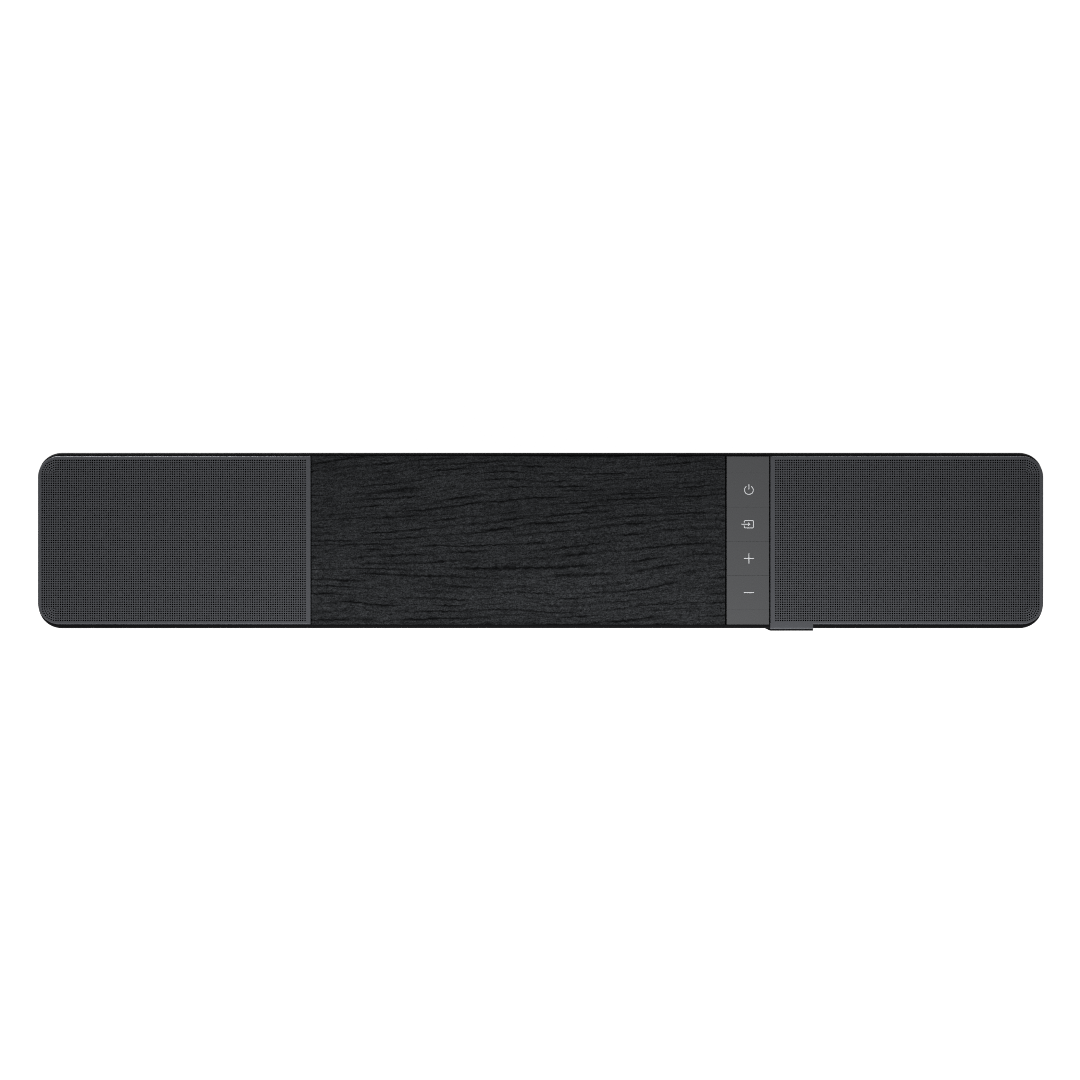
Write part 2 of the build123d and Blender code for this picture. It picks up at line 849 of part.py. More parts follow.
chips = ((-15, -5, 18, 2.4), (10, -20, 12, 1.6), (12, 5, 10, 1.4), (-20, 22, 9, 1.2))

with BuildPart() as main_board_chips:
    for x, y, side, tall in chips:
        block_between(
            (x - side / 2, y - side / 2, socket_board_z),
            (x + side / 2, y + side / 2, socket_board_z + tall),
        )
save(main_board_chips, "main_board_chips")

fin_count = 8
fin_thickness = 1.6

with BuildPart() as heat_sink:
    block_between((-68, -24, socket_board_z), (-30, 20, socket_board_z + 4))
    with Locations((-49, -2, socket_board_z + 12)):
        with GridLocations((38 - fin_thickness) / (fin_count - 1), 0, fin_count, 1):
            Box(fin_thickness, 44, 16)
save(heat_sink, "heat_sink")

with BuildPart() as wireless_module:
    block_between((6, 12, socket_board_z + 0.1), (30, 24, socket_board_z + 3.2))
    chamfer(wireless_module.faces().sort_by(Axis.Z)[-1].edges(), 0.5)
save(wireless_module, "wireless_module")

with BuildPart() as power_board:
    block_between(
        (power_board_left, power_board_front, power_board_under_z),
        (power_board_right, power_board_rear, power_board_top_z),
    )
    with Locations(*[(x, y, power_board_top_z) for x, y in power_board_spots]):
        Cylinder(screw_hole_radius, 10, mode=Mode.SUBTRACT)
save(power_board, "power_board")

with BuildPart() as transformer:
    block_between((88, -6, power_board_top_z), (122, 20, power_board_top_z + 26))
    block_between((84, -1, power_board_top_z + 5), (126, 15, power_board_top_z + 21))
save(transformer, "transformer")

with BuildPart() as capacitors:
    with Locations((92, -20, power_board_top_z), (114, -20, power_board_top_z)):
        Cylinder(8, 28, align=(Align.CENTER, Align.CENTER, Align.MIN))
    with Locations((95, 29, power_board_top_z), (110, 29, power_board_top_z)):
        Cylinder(5, 18, align=(Align.CENTER, Align.CENTER, Align.MIN))
save(capacitors, "capacitors")

# ---------------------------------------------------------------- wiring and wadding

lead_radius = 1.6
lead_z = floor_z + 3.5

with BuildPart() as wiring_harness:
    for side in (-1, 1):
        motor_side = side * (woofer_x - woofer.magnet - 2)
        with BuildLine() as route:
            FilletPolyline(
                (side * 22, 0, main_board_under_z - 0.4),
                (side * 22, 0, lead_z),
                (motor_side, 0, lead_z),
                (motor_side, 0, lead_z + 16),
                radius=5,
            )
        with BuildSketch(Plane((side * 22, 0, main_board_under_z - 0.4), z_dir=(0, 0, -1))):
            Circle(lead_radius)
        sweep(path=route.line)
save(wiring_harness, "wiring_harness")

with BuildPart() as damping_pads:
    for side in (-1, 1):
        inner, outer = sorted((side * 337, side * 352))
        block_between((inner, -33, 8), (outer, 35, 60))
    fillet(damping_pads.edges().filter_by(Axis.Z), 3)
save(damping_pads, "damping_pads")

# ---------------------------------------------------------------- feet and fasteners

with BuildPart() as rubber_feet:
    with BuildSketch():
        with GridLocations(600, 82, 2, 2):
            RectangleRounded(44, 14, 5)
    extrude(amount=foot_height)
    chamfer(rubber_feet.faces().group_by(Axis.Z)[0].edges(), 0.6)
save(rubber_feet, "rubber_feet")

with BuildPart() as bracket_inserts:
    with BuildSketch(Plane.XY.offset(foot_height)):
        with Locations(*insert_spots):
            Circle(insert_radius)
            Circle(insert_hole_radius, mode=Mode.SUBTRACT)
    extrude(amount=insert_length)
save(bracket_inserts, "bracket_inserts")


def screws(spots, seat_z, length, direction, head_radius=2.8, head_height=1.8, radius=screw_radius):
    """Pan-head screws with a cross recess, their heads' undersides at seat_z."""
    with BuildPart() as group:
        for x, y in spots:
            seat = Plane((x, y, seat_z), x_dir=(1, 0, 0), z_dir=(0, 0, direction))
            with BuildSketch(seat):
                Circle(head_radius)
            extrude(amount=head_height)
            with BuildSketch(seat.offset(head_height)):
                Rectangle(2.6, 0.6)
                Rectangle(0.6, 2.6)
            extrude(amount=-1, mode=Mode.SUBTRACT)
            with BuildSketch(seat):
                Circle(radius)
            extrude(amount=-length)
    return group


save(screws(case_screw_spots, counterbore_z, seam_z - counterbore_z + 12, -1), "case_screws")
save(screws(woofer_screw_spots, deck_z + flange_thickness, 8, 1), "woofer_screws")

key_board_spots = [(key_x, -key_screw_y), (key_x, key_screw_y)]
small_screw = (2.4, 1.5, 1.2)  # head radius, head height, thread radius

with BuildPart() as board_screws:
    add(screws(main_board_spots, socket_board_z, 8, 1, *small_screw).part)
    add(screws(power_board_spots, power_board_top_z, 8, 1, *small_screw).part)
    add(screws(key_board_spots, key_board_z - board_thickness, 4.4, -1, *small_screw).part)
save(board_screws, "board_screws")

with BuildPart() as front_speaker_screws:
    for x, z in ear_spots:
        seat = Plane((x, baffle_back + flange_thickness, z), x_dir=(1, 0, 0), z_dir=(0, 1, 0))
        with BuildSketch(seat):
            Circle(2.6)
        extrude(amount=1.6)
        with BuildSketch(seat):
            Circle(screw_radius)
        extrude(amount=-(flange_thickness + wall))
save(front_speaker_screws, "front_speaker_screws")
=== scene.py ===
import json
from math import cos, pi, radians, sin

import bmesh
import bpy
import numpy as np
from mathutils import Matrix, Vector
from mathutils.geometry import delaunay_2d_cdt


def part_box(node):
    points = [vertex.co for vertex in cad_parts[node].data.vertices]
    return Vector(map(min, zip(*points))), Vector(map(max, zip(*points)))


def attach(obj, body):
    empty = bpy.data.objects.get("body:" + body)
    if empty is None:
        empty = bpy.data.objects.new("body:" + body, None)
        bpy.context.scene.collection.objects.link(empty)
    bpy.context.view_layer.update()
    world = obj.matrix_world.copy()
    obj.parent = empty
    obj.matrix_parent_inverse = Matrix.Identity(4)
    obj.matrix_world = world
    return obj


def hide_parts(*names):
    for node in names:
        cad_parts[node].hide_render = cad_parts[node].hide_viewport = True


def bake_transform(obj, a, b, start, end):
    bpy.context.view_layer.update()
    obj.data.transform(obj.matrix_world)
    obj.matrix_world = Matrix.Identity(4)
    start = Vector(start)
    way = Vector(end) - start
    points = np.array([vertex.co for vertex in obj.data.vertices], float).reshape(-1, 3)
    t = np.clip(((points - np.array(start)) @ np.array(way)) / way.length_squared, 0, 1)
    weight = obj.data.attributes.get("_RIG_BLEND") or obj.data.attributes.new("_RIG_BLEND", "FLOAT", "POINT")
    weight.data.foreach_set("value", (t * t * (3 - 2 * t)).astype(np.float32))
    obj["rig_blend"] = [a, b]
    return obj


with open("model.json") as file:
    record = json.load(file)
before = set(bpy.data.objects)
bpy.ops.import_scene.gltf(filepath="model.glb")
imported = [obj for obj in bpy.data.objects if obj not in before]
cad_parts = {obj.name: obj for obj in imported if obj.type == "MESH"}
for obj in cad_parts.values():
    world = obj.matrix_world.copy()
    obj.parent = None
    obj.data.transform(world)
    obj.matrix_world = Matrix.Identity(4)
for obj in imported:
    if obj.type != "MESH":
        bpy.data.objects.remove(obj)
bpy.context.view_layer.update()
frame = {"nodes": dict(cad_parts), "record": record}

# The looks of a soundbar: perforated painted grilles, a black oak panel, a strip of keys with
# thin symbols and a black moulded case. Metres, in the frame's own axes.

MM = 0.001

# ---------------------------------------------------------------- small helpers


def new_object(name, mesh, material, body="soundbar"):
    """A mesh as a scene object that rides on a body."""
    piece = bpy.data.objects.new(name, mesh)
    bpy.context.scene.collection.objects.link(piece)
    mesh.materials.append(material)
    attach(piece, body)
    return piece


def new_mesh(name, points, faces, smooth):
    """A mesh from points and faces; smooth is one flag for each face."""
    mesh = bpy.data.meshes.new(name)
    mesh.from_pydata([tuple(p) for p in points], [], faces)
    mesh.polygons.foreach_set("use_smooth", smooth)
    mesh.update()
    return mesh


# ---------------------------------------------------------------- materials


class Shader:
    """A Principled material with helpers that add procedural detail."""

    def __init__(self, name, colour, roughness, metallic=0.0, specular=0.5):
        self.material = bpy.data.materials.new(name)
        self.material.use_nodes = True
        self.nodes = self.material.node_tree.nodes
        self.links = self.material.node_tree.links
        self.surface = self.nodes["Principled BSDF"]
        self.surface.inputs["Base Color"].default_value = (*colour, 1.0)
        self.surface.inputs["Roughness"].default_value = roughness
        self.surface.inputs["Metallic"].default_value = metallic
        self.surface.inputs["Specular IOR Level"].default_value = specular
        self.place = self.nodes.new("ShaderNodeTexCoord").outputs["Object"]

    def stretched(self, scale, shift=(0.0, 0.0, 0.0), source=None):
        """Object coordinates, or another source, scaled along each axis and shifted."""
        mapping = self.nodes.new("ShaderNodeMapping")
        mapping.inputs["Scale"].default_value = scale
        mapping.inputs["Location"].default_value = shift
        self.links.new(self.place if source is None else source, mapping.inputs["Vector"])
        return mapping.outputs["Vector"]

    def noise(self, vector, scale, detail=3.0, roughness=0.5):
        """A noise value from 0 to 1."""
        node = self.nodes.new("ShaderNodeTexNoise")
        node.inputs["Scale"].default_value = scale
        node.inputs["Detail"].default_value = detail
        node.inputs["Roughness"].default_value = roughness
        self.links.new(vector, node.inputs["Vector"])
        return node.outputs["Fac"]

    def remap(self, value, low, high, to_low=0.0, to_high=1.0):
        """A value carried from one range to another, held at its ends."""
        node = self.nodes.new("ShaderNodeMapRange")
        for socket, number in zip(node.inputs[1:5], (low, high, to_low, to_high)):
            socket.default_value = number
        self.links.new(value, node.inputs["Value"])
        return node.outputs["Result"]

    def math(self, operation, a, b):
        """Two values joined by an operation; either may be a number."""
        node = self.nodes.new("ShaderNodeMath")
        node.operation = operation
        for socket, value in zip(node.inputs, (a, b)):
            if isinstance(value, (int, float)):
                socket.default_value = value
            else:
                self.links.new(value, socket)
        return node.outputs["Value"]

    def colour_between(self, value, dark, light):
        """Base colour that runs from dark at 0 to light at 1."""
        node = self.nodes.new("ShaderNodeMix")
        node.data_type = "RGBA"
        node.inputs["A"].default_value = (*dark, 1.0)
        node.inputs["B"].default_value = (*light, 1.0)
        self.links.new(value, node.inputs["Factor"])
        self.links.new(node.outputs["Result"], self.surface.inputs["Base Color"])

    def bump(self, value, strength, depth):
        """Relief of a real depth in metres."""
        node = self.nodes.new("ShaderNodeBump")
        node.inputs["Strength"].default_value = strength
        node.inputs["Distance"].default_value = depth
        self.links.new(value, node.inputs["Height"])
        self.links.new(node.outputs["Normal"], self.surface.inputs["Normal"])

    def roughness_from(self, value, low, high):
        """Roughness that follows a value."""
        self.links.new(self.remap(value, 0.3, 0.7, low, high), self.surface.inputs["Roughness"])


def textured(
    name, colour, roughness, metallic=0.0, grain=900.0, depth=0.00002, spread=0.08, specular=0.5
):
    """A plain colour with the fine relief and uneven gloss of a moulded or painted surface."""
    shader = Shader(name, colour, roughness, metallic, specular)
    fine = shader.noise(shader.place, grain, detail=2.0)
    broad = shader.noise(shader.place, 35.0, detail=3.0)
    shader.bump(fine, 0.35, depth)
    shader.roughness_from(broad, roughness - spread, roughness + spread)
    return shader.material


PEEL_DEPTH = 0.003 * MM
PAINT_SPREAD = 0.02


def satin_paint(name, colour, roughness, specular):
    """Satin grey paint with a faint orange-peel relief."""
    shader = Shader(name, colour, roughness, metallic=0.2, specular=specular)
    peel = shader.noise(shader.place, 1500.0, detail=2.0)
    clouds = shader.noise(shader.place, 22.0, detail=3.0)
    shader.bump(peel, 0.15, PEEL_DEPTH)
    shader.roughness_from(clouds, roughness - PAINT_SPREAD, roughness + PAINT_SPREAD)
    return shader.material


YEAR_PITCH = 4.8 * MM
GRAIN_RISE = 0.045
DRIFT = 30.0 * MM
RIPPLE = 4.0 * MM
JITTER = 2.6 * MM
OAK_DARK = (0.0012, 0.0012, 0.0013)
OAK_LIGHT = (0.0620, 0.0655, 0.0700)


def black_oak():
    """Dark stained oak veneer: long wandering grain lines, short open pores and fine fibre."""
    shader = Shader("black_oak", (0.02, 0.02, 0.021), 0.6, specular=0.04)
    # The grain rises slightly to the right and wanders: drifts of three sizes are added across it
    drift = shader.noise(shader.stretched((4.0, 9.0, 1.0)), 1.0, detail=1.0)
    ripple = shader.noise(shader.stretched((22.0, 40.0, 1.0)), 1.0, detail=1.0)
    jitter = shader.noise(shader.stretched((210.0, 330.0, 1.0)), 1.0, detail=2.0, roughness=0.6)
    separate = shader.nodes.new("ShaderNodeSeparateXYZ")
    shader.links.new(shader.place, separate.inputs["Vector"])
    along, across = separate.outputs["X"], separate.outputs["Y"]
    for wander, amount in ((along, -GRAIN_RISE), (drift, DRIFT), (ripple, RIPPLE), (jitter, JITTER)):
        across = shader.math("ADD", across, shader.math("MULTIPLY", wander, amount))
    combine = shader.nodes.new("ShaderNodeCombineXYZ")
    shader.links.new(along, combine.inputs["X"])
    shader.links.new(across, combine.inputs["Y"])
    wandering = combine.outputs["Vector"]

    def grain(x_scale, y_scale, shift, detail=2.0, roughness=0.5):
        """Noise stretched along the wandering grain."""
        vector = shader.stretched((x_scale, y_scale, 1.0), (shift, shift, 0.0), wandering)
        return shader.noise(vector, 1.0, detail, roughness)

    # One dark line for each year's growth: unevenly spaced, and broken where the pores close up
    years = shader.math("DIVIDE", across, YEAR_PITCH)
    years = shader.math("ADD", years, shader.math("MULTIPLY", grain(5.0, 45.0, 2.0), 3.0))
    wave = shader.math("ABSOLUTE", shader.math("SINE", shader.math("MULTIPLY", years, pi), 0.0), 0.0)
    ring_lines = shader.remap(wave, 0.02, 0.70, 1.0, 0.0)
    broken = shader.remap(grain(24.0, 170.0, 5.0, 3.0), 0.40, 0.58)
    rings = shader.math("MULTIPLY", ring_lines, broken)
    pores = shader.remap(grain(70.0, 900.0, 3.0), 0.38, 0.52, 0.60, 1.0)
    bands = shader.remap(grain(8.0, 40.0, 7.0), 0.30, 0.70, 0.82, 1.12)
    fibre = shader.remap(grain(300.0, 1100.0, 11.0, 2.0, 0.7), 0.30, 0.70, 0.52, 1.55)
    fine = shader.noise(shader.place, 1300.0, detail=1.0)
    speckle = shader.remap(fine, 0.30, 0.70, 0.40, 1.60)
    tone = shader.math("MULTIPLY", bands, pores)
    for layer in (shader.remap(rings, 0.0, 1.0, 1.12, 0.10), fibre, speckle, 0.235):
        tone = shader.math("MULTIPLY", tone, layer)
    shader.colour_between(tone, OAK_DARK, OAK_LIGHT)
    shader.bump(tone, 0.5, 0.0001)
    shader.roughness_from(fibre, 0.58, 0.70)
    return shader.material


def white_floor():
    """A pale floor that stays white under the soft lights and is clear when seen from below."""
    shader = Shader("white_floor", (0.25, 0.25, 0.25), 0.9, specular=0.0)
    shader.surface.inputs["Emission Color"].default_value = (1.0, 1.0, 1.0, 1.0)
    shader.surface.inputs["Emission Strength"].default_value = 0.97
    underside = shader.nodes.new("ShaderNodeNewGeometry").outputs["Backfacing"]
    clear = shader.nodes.new("ShaderNodeBsdfTransparent")
    either = shader.nodes.new("ShaderNodeMixShader")
    shader.links.new(underside, either.inputs["Fac"])
    shader.links.new(shader.surface.outputs["BSDF"], either.inputs[1])
    shader.links.new(clear.outputs["BSDF"], either.inputs[2])
    shader.links.new(either.outputs["Shader"], shader.nodes["Material Output"].inputs["Surface"])
    return shader.material


def woven(name, colour, threads):
    """A coarse woven cloth."""
    shader = Shader(name, colour, 0.9, specular=0.2)
    weave = shader.nodes.new("ShaderNodeTexChecker")
    weave.inputs["Scale"].default_value = threads
    shader.links.new(shader.place, weave.inputs["Vector"])
    shader.bump(weave.outputs["Fac"], 0.6, 0.0002)
    return shader.material


materials = {
    "case_plastic": textured(
        "case_plastic", (0.0050, 0.0050, 0.0054), 0.5, grain=1400.0, spread=0.02, specular=0.14
    ),
    "panel_metal": satin_paint("panel_paint", (0.0690, 0.0715, 0.0785), 0.34, 0.22),
    "wood_veneer": black_oak(),
    "core_board": textured(
        "core_board", (0.016, 0.014, 0.012), 0.85, grain=500.0, depth=0.0001, specular=0.1
    ),
    "speaker_steel": textured("speaker_steel", (0.012, 0.012, 0.013), 0.5, metallic=0.3),
    "magnet": textured("magnet", (0.05, 0.05, 0.052), 0.6, metallic=0.5, depth=0.00005),
    "cone": textured("cone_paper", (0.010, 0.010, 0.011), 0.8, grain=700.0, depth=0.0001),
    "soft_rubber": textured("soft_rubber", (0.010, 0.010, 0.010), 0.72, depth=0.00004),
    "spider_cloth": woven("spider_cloth", (0.40, 0.28, 0.12), 900.0),
    "circuit_board": textured("circuit_board", (0.01, 0.06, 0.03), 0.4),
    "chip_plastic": textured("chip_plastic", (0.012, 0.012, 0.012), 0.5, depth=0.00003),
    "aluminium": textured("aluminium_extrusion", (0.60, 0.60, 0.61), 0.35, metallic=1.0),
    "wound_core": textured("wound_core", (0.30, 0.17, 0.04), 0.4, metallic=0.2),
    "socket_steel": textured("socket_steel", (0.52, 0.52, 0.53), 0.3, metallic=1.0),
    "gold_plate": textured("gold_plate", (0.80, 0.58, 0.24), 0.25, metallic=1.0),
    "window_plastic": textured(
        "window_plastic", (0.004, 0.004, 0.005), 0.08, spread=0.03, depth=0.000002
    ),
    "screw_steel": textured("screw_steel", (0.08, 0.08, 0.08), 0.35, metallic=1.0),
    "wire_plastic": textured("wire_plastic", (0.03, 0.03, 0.03), 0.5),
    "wadding": textured("wadding", (0.45, 0.45, 0.43), 0.95, grain=600.0, depth=0.0006),
}
strip_paint = satin_paint("strip_paint", (0.0765, 0.0780, 0.0808), 0.40, 0.26)
symbol_ink = textured("symbol_ink", (0.50, 0.51, 0.52), 0.55, spread=0.03, depth=0.000003)

for subpart in frame["record"]["subparts"]:
    node = frame["nodes"][subpart["node"]]
    node.data.materials.clear()
    node.data.materials.append(materials[subpart["material_slot"]])

# ---------------------------------------------------------------- perforated sheets

SHEET = 1.0 * MM
BEND = 1.2 * MM
INNER_BEND = 0.2 * MM
BEND_STEPS = 6
HOLE_SIDES = 8
ROUND_CORNER = 4.0 * MM
ROUND_STEPS = 14
TIGHT_STEPS = 4
SHARPEST = 0.02 * MM


def rounded_outline(half_u, half_v, radii, inset, spacing):
    """Points anticlockwise round a rectangle whose four corners have their own radii.

    The corners run from (+u, -v) anticlockwise. The count doesn't depend on the inset.
    """
    signs = [(1, -1), (1, 1), (-1, 1), (-1, -1)]
    arcs = []
    for index, ((sign_u, sign_v), radius) in enumerate(zip(signs, radii)):
        steps = ROUND_STEPS if radius > ROUND_CORNER else TIGHT_STEPS
        left = max(radius - inset, SHARPEST)
        centre_u = sign_u * (half_u - inset - left)
        centre_v = sign_v * (half_v - inset - left)
        start = -pi / 2 + index * pi / 2
        arcs.append(
            [
                (
                    centre_u + left * cos(start + step / steps * pi / 2),
                    centre_v + left * sin(start + step / steps * pi / 2),
                )
                for step in range(steps + 1)
            ]
        )
    points = []
    for index, arc in enumerate(arcs):
        following = arcs[(index + 1) % 4][0]
        points += arc
        length = 2 * (half_v if index % 2 == 0 else half_u)
        count = max(2, round(length / spacing))
        last = arc[-1]
        points += [
            (
                last[0] + (following[0] - last[0]) * step / count,
                last[1] + (following[1] - last[1]) * step / count,
            )
            for step in range(1, count)
        ]
    return np.array(points)


def fan_holes(centre, turn, reach, pitch):
    """Holes on arcs about a centre, filling one quarter between a column and a row of holes."""
    holes = []
    for ring in range(1, reach + 1):
        steps = round(ring * pi / 2)
        radius = max(ring, 1.2) * pitch
        for step in range(1, steps):
            angle = turn + step / steps * pi / 2
            holes.append((centre[0] + radius * cos(angle), centre[1] + radius * sin(angle)))
    return holes


def filled(flat, limits, is_solid):
    """Triangles between the limit lines, kept where is_solid(their middle) is true."""
    used = sorted(set(np.array(limits).ravel().tolist()))
    local = {number: index for index, number in enumerate(used)}
    result = delaunay_2d_cdt(
        [Vector(flat[number]) for number in used],
        [(local[a], local[b]) for a, b in limits],
        [],
        0,
        1e-9,
        True,
    )
    origin = [used[source[0]] for source in result[3]]
    triangles = [tuple(origin[k] for k in triangle) for triangle in result[2]]
    return [triangle for triangle in triangles if is_solid(flat[list(triangle)].mean(axis=0))]


def folded_profile(skirt):
    """(inset, depth) of the folded edge: round the bend, down the skirt and up its inner side."""
    bend = [
        (BEND - BEND * sin(radians(angle)), BEND - BEND * cos(radians(angle)))
        for angle in np.linspace(0, 90, BEND_STEPS + 1)[1:]
    ]
    return [*bend, (0.0, skirt), (SHEET, skirt), (SHEET, SHEET + INNER_BEND)]


def perforated_sheet(half_u, half_v, radii, margins, pitch, hole_radius, fans, reach, skirt):
    """Points, faces and smooth flags of a folded sheet with a field of round holes.

    Points are (u, v, depth below the outer face). The field is a square grid that starts the
    margins in from the low sides. At each corner in fans it gives way to arcs of holes.
    """
    columns = int((2 * half_u - margins[0] - margins[1]) / pitch + 0.5) + 1
    rows = int((2 * half_v - margins[2] - margins[3]) / pitch + 0.5) + 1
    first_u = -half_u + margins[0]
    first_v = -half_v + margins[2]
    kept = np.ones((columns, rows), bool)
    turns = {(1, 1): 0.0, (-1, 1): pi / 2, (-1, -1): pi, (1, -1): 1.5 * pi}
    arc_holes = []
    for sign_u, sign_v in fans:
        column = columns - 1 - reach if sign_u > 0 else reach
        row = rows - 1 - reach if sign_v > 0 else reach
        in_u = slice(column + 1, columns) if sign_u > 0 else slice(0, column)
        in_v = slice(row + 1, rows) if sign_v > 0 else slice(0, row)
        kept[in_u, in_v] = False
        centre = (first_u + column * pitch, first_v + row * pitch)
        arc_holes += fan_holes(centre, turns[sign_u, sign_v], reach, pitch)

    # Outer face: grid corners, then the eight points of each hole
    corner_u, corner_v = np.meshgrid(
        first_u + (np.arange(columns + 1) - 0.5) * pitch,
        first_v + (np.arange(rows + 1) - 0.5) * pitch,
        indexing="ij",
    )
    corners = np.stack([corner_u.ravel(), corner_v.ravel()], axis=1)
    cells = np.argwhere(kept)
    sides = (np.arange(HOLE_SIDES) + 0.5) * 2 * pi / HOLE_SIDES
    ring = hole_radius * np.stack([np.cos(sides), np.sin(sides)], axis=1)
    centres = np.stack([first_u + cells[:, 0] * pitch, first_v + cells[:, 1] * pitch], axis=1)
    arc_centres = np.array(arc_holes)
    all_centres = np.concatenate([centres, arc_centres])
    hole_points = (all_centres[:, None, :] + ring[None, :, :]).reshape(-1, 2)
    edge = rounded_outline(half_u, half_v, radii, BEND, pitch)
    flat = np.concatenate([corners, hole_points, edge])
    first_hole = len(corners)
    first_edge = first_hole + len(hole_points)

    def corner(i, j):
        return i * (rows + 1) + j

    faces = []
    for index, (i, j) in enumerate(cells):
        square = (corner(i + 1, j), corner(i + 1, j + 1), corner(i, j + 1), corner(i, j))
        start = first_hole + index * HOLE_SIDES
        for quarter in range(4):
            here = square[quarter - 1]
            after = square[quarter]
            low = start + (2 * quarter - 1) % HOLE_SIDES
            high = start + 2 * quarter
            faces.append((here, after, high, low))
            faces.append((after, start + (2 * quarter + 1) % HOLE_SIDES, high))

    # The rest of the outer face, between the grid, the arcs of holes and the edge
    padded = np.pad(kept, 1)
    limits = []
    for i in range(columns + 1):
        for j in range(rows + 1):
            if j < rows and padded[i, j + 1] != padded[i + 1, j + 1]:
                limits.append((corner(i, j), corner(i, j + 1)))
            if i < columns and padded[i + 1, j] != padded[i + 1, j + 1]:
                limits.append((corner(i, j), corner(i + 1, j)))
    arc_start = first_hole + len(centres) * HOLE_SIDES
    for index in range(len(arc_centres)):
        start = arc_start + index * HOLE_SIDES
        limits += [(start + k, start + (k + 1) % HOLE_SIDES) for k in range(HOLE_SIDES)]
    limits += [(first_edge + k, first_edge + (k + 1) % len(edge)) for k in range(len(edge))]

    def is_solid(place):
        i = int(np.floor((place[0] - first_u) / pitch + 0.5))
        j = int(np.floor((place[1] - first_v) / pitch + 0.5))
        in_grid = 0 <= i < columns and 0 <= j < rows and kept[i, j]
        return not in_grid and np.hypot(*(arc_centres - place).T).min() >= 0.9 * hole_radius

    faces += filled(flat, limits, is_solid)

    # Inner face, hole walls, then the folded edge
    count = len(flat)
    points = np.concatenate([np.c_[flat, np.zeros(count)], np.c_[flat, np.full(count, SHEET)]])
    smooth = [False] * (2 * len(faces))
    faces += [tuple(number + count for number in reversed(face)) for face in faces]
    for index in range(len(all_centres)):
        start = first_hole + index * HOLE_SIDES
        for k in range(HOLE_SIDES):
            here, after = start + k, start + (k + 1) % HOLE_SIDES
            faces.append((here, after, after + count, here + count))
            smooth.append(True)
    previous = list(range(first_edge, first_edge + len(edge)))
    for step, (inset, depth) in enumerate(folded_profile(skirt)):
        loop = rounded_outline(half_u, half_v, radii, inset, pitch)
        numbers = list(range(len(points), len(points) + len(loop)))
        points = np.concatenate([points, np.c_[loop, np.full(len(loop), depth)]])
        faces += strip(previous, numbers)
        smooth += [step < BEND_STEPS] * len(loop)
        previous = numbers
    faces += strip(previous, list(range(first_edge + count, first_edge + count + len(edge))))
    smooth += [False] * len(edge)
    return points, faces, smooth


def strip(upper, lower):
    """Quads between two closed loops of points."""
    count = len(upper)
    return [
        (upper[k], lower[k], lower[(k + 1) % count], upper[(k + 1) % count]) for k in range(count)
    ]


def sheet_pieces(name, parts, build, to_world, material, node):
    """The sheet as side-by-side pieces, each with a flat map of its own face for fine relief."""
    points, faces, smooth = build
    smooth = np.array(smooth)
    middles = np.array([points[list(face), 0].mean() for face in faces])
    limits = np.linspace(points[:, 0].min() - MM, points[:, 0].max() + MM, parts + 1)
    extent = np.ptp(points[:, 0])
    for part in range(parts):
        chosen = np.flatnonzero((middles >= limits[part]) & (middles < limits[part + 1]))
        own = sorted({number for index in chosen for number in faces[index]})
        local = {number: index for index, number in enumerate(own)}
        own_faces = [tuple(local[number] for number in faces[index]) for index in chosen]
        mesh = new_mesh(f"{name}_{part + 1}", to_world(points[own]), own_faces, smooth[chosen])
        layer = mesh.uv_layers.new(name="OFBake")
        corners = np.zeros(len(mesh.loops), np.int64)
        mesh.loops.foreach_get("vertex_index", corners)
        flat = points[own][corners][:, :2]
        flat = (flat - points[own][:, :2].min(axis=0)) * parts / extent
        layer.data.foreach_set("uv", flat.astype(np.float32).ravel())
        piece = new_object(f"{name}_{part + 1}", mesh, material)
        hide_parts(node)


def onto_top(centre_x, centre_y, top_z):
    """Carries (u, v, depth) onto the top of the bar."""
    return lambda p: np.c_[p[:, 0] + centre_x, p[:, 1] + centre_y, top_z - p[:, 2]]


def onto_front(centre_x, front_y, centre_z):
    """Carries (u, v, depth) onto the front of the bar."""
    return lambda p: np.c_[p[:, 0] + centre_x, front_y + p[:, 2], p[:, 1] + centre_z]


left_low, left_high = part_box("left_top_grille")
right_low, right_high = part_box("right_top_grille")
top_z = left_high.z
panel_y = (left_low.y + left_high.y) / 2
half_depth = (left_high.y - left_low.y) / 2
skirt = top_z - left_low.z

PITCH = 1.617 * MM
HOLE = 0.54 * MM
OUTER_RADIUS = 15.0 * MM
INNER_RADIUS = 0.6 * MM
OUTER_MARGIN = 3.05 * MM
INNER_MARGIN = 3.9 * MM
FRONT_MARGIN = 2.85 * MM
REAR_MARGIN = 3.2 * MM
FAN_REACH = 6

for side, low, high in ((-1, left_low, left_high), (1, right_low, right_high)):
    hand = "left" if side < 0 else "right"
    half_width = (high.x - low.x) / 2
    outer, inner = OUTER_RADIUS, INNER_RADIUS
    radii = (inner, inner, outer, outer) if side < 0 else (outer, outer, inner, inner)
    sides = (OUTER_MARGIN, INNER_MARGIN) if side < 0 else (INNER_MARGIN, OUTER_MARGIN)
    sheet = perforated_sheet(
        half_width,
        half_depth,
        radii,
        (*sides, FRONT_MARGIN, REAR_MARGIN),
        PITCH,
        HOLE,
        [(side, 1), (side, -1)],
        FAN_REACH,
        skirt,
    )
    centre_x = (low.x + high.x) / 2
    sheet_pieces(
        f"{hand}_top_grille",
        2,
        sheet,
        onto_top(centre_x, panel_y, top_z),
        materials["panel_metal"],
        f"{hand}_top_grille",
    )

